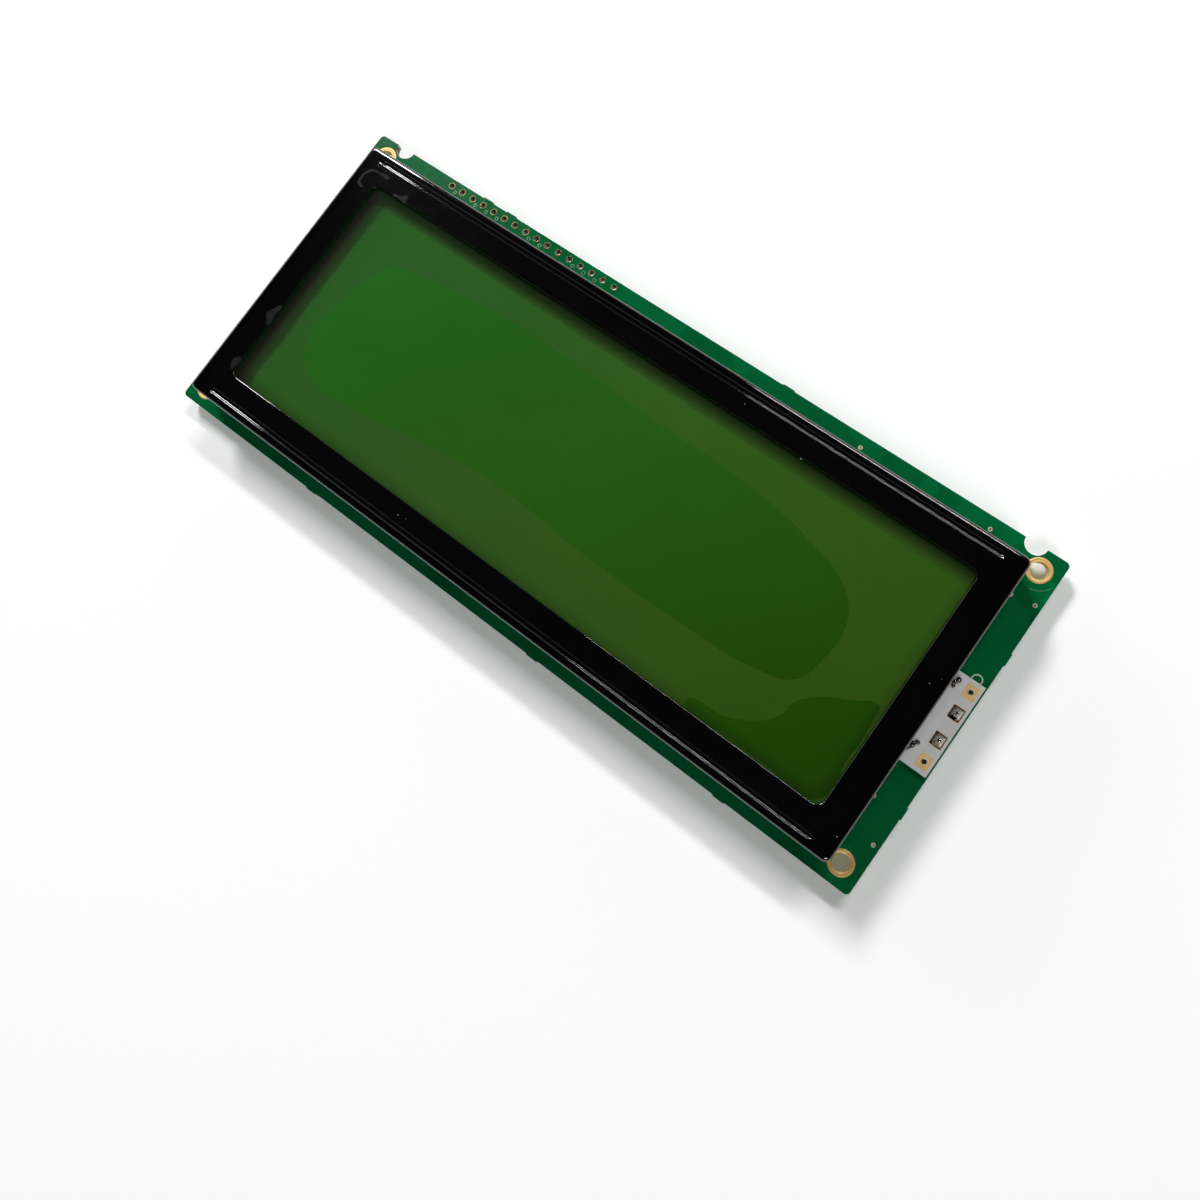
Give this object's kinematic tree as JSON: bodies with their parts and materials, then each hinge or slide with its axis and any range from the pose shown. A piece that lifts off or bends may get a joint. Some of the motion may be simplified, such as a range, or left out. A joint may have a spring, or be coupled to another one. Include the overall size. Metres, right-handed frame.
{
  "type": "lcd character display module",
  "caption": "Flat LCD module: green circuit board with corner mounting holes and a header row, a folded black steel bezel, a green window and a white lamp board tongue.",
  "frame": {"origin": "middle of the board's outline, at the ends of the bezel's twisted tabs, on which the module lies", "axes": "+X along the long side towards the lamp tongue, +Y towards the header row, +Z out of the display face"},
  "size_m": [0.1462, 0.0628, 0.0129],
  "materials": {
    "board": "green solder mask on glass fibre",
    "gold_plating": "thin gold over copper",
    "tinned_copper": "dull tin",
    "bezel_steel": "satin black coat",
    "clear_film": "clear, lifted in places",
    "polarizer": "smooth",
    "cell_glass": "polished",
    "seal_epoxy": "satin",
    "liquid_crystal": "clear",
    "elastomer": "matte",
    "diffuser": "opal",
    "white_moulding": "matte",
    "lamp_board": "white mask, slightly grey",
    "lamp_chip": "cast resin",
    "solder": "bright, a little grainy",
    "silicon": "polished",
    "potting": "black epoxy",
    "resistor_body": "glazed",
    "capacitor_body": "matte"
  },
  "bodies": {
    "root": {"circuit_board": "board", "mount_hole_lands": "gold_plating", "header_lands": "gold_plating", "via_lands": "tinned_copper", "bezel": "bezel_steel", "protective_film": "clear_film", "front_polarizer": "polarizer", "front_glass": "cell_glass", "cell_seal": "seal_epoxy", "liquid_crystal": "liquid_crystal", "rear_glass": "cell_glass", "rear_polarizer": "polarizer", "upper_connector_strip": "elastomer", "lower_connector_strip": "elastomer", "diffuser": "diffuser", "backlight_case": "white_moulding", "lamp_board": "lamp_board", "lamp_chips": "lamp_chip", "lamp_lands": "gold_plating", "lamp_pins": "tinned_copper", "lamp_pin_solder": "solder", "edge_solder": "solder", "controller_die": "silicon", "controller_glob_top": "potting", "driver_dies": "silicon", "driver_glob_tops": "potting", "bias_resistors": "resistor_body", "lamp_resistors": "resistor_body", "capacitors": "capacitor_body", "chip_end_caps": "solder", "chip_lands": "tinned_copper"}
  },
  "joints": []
}
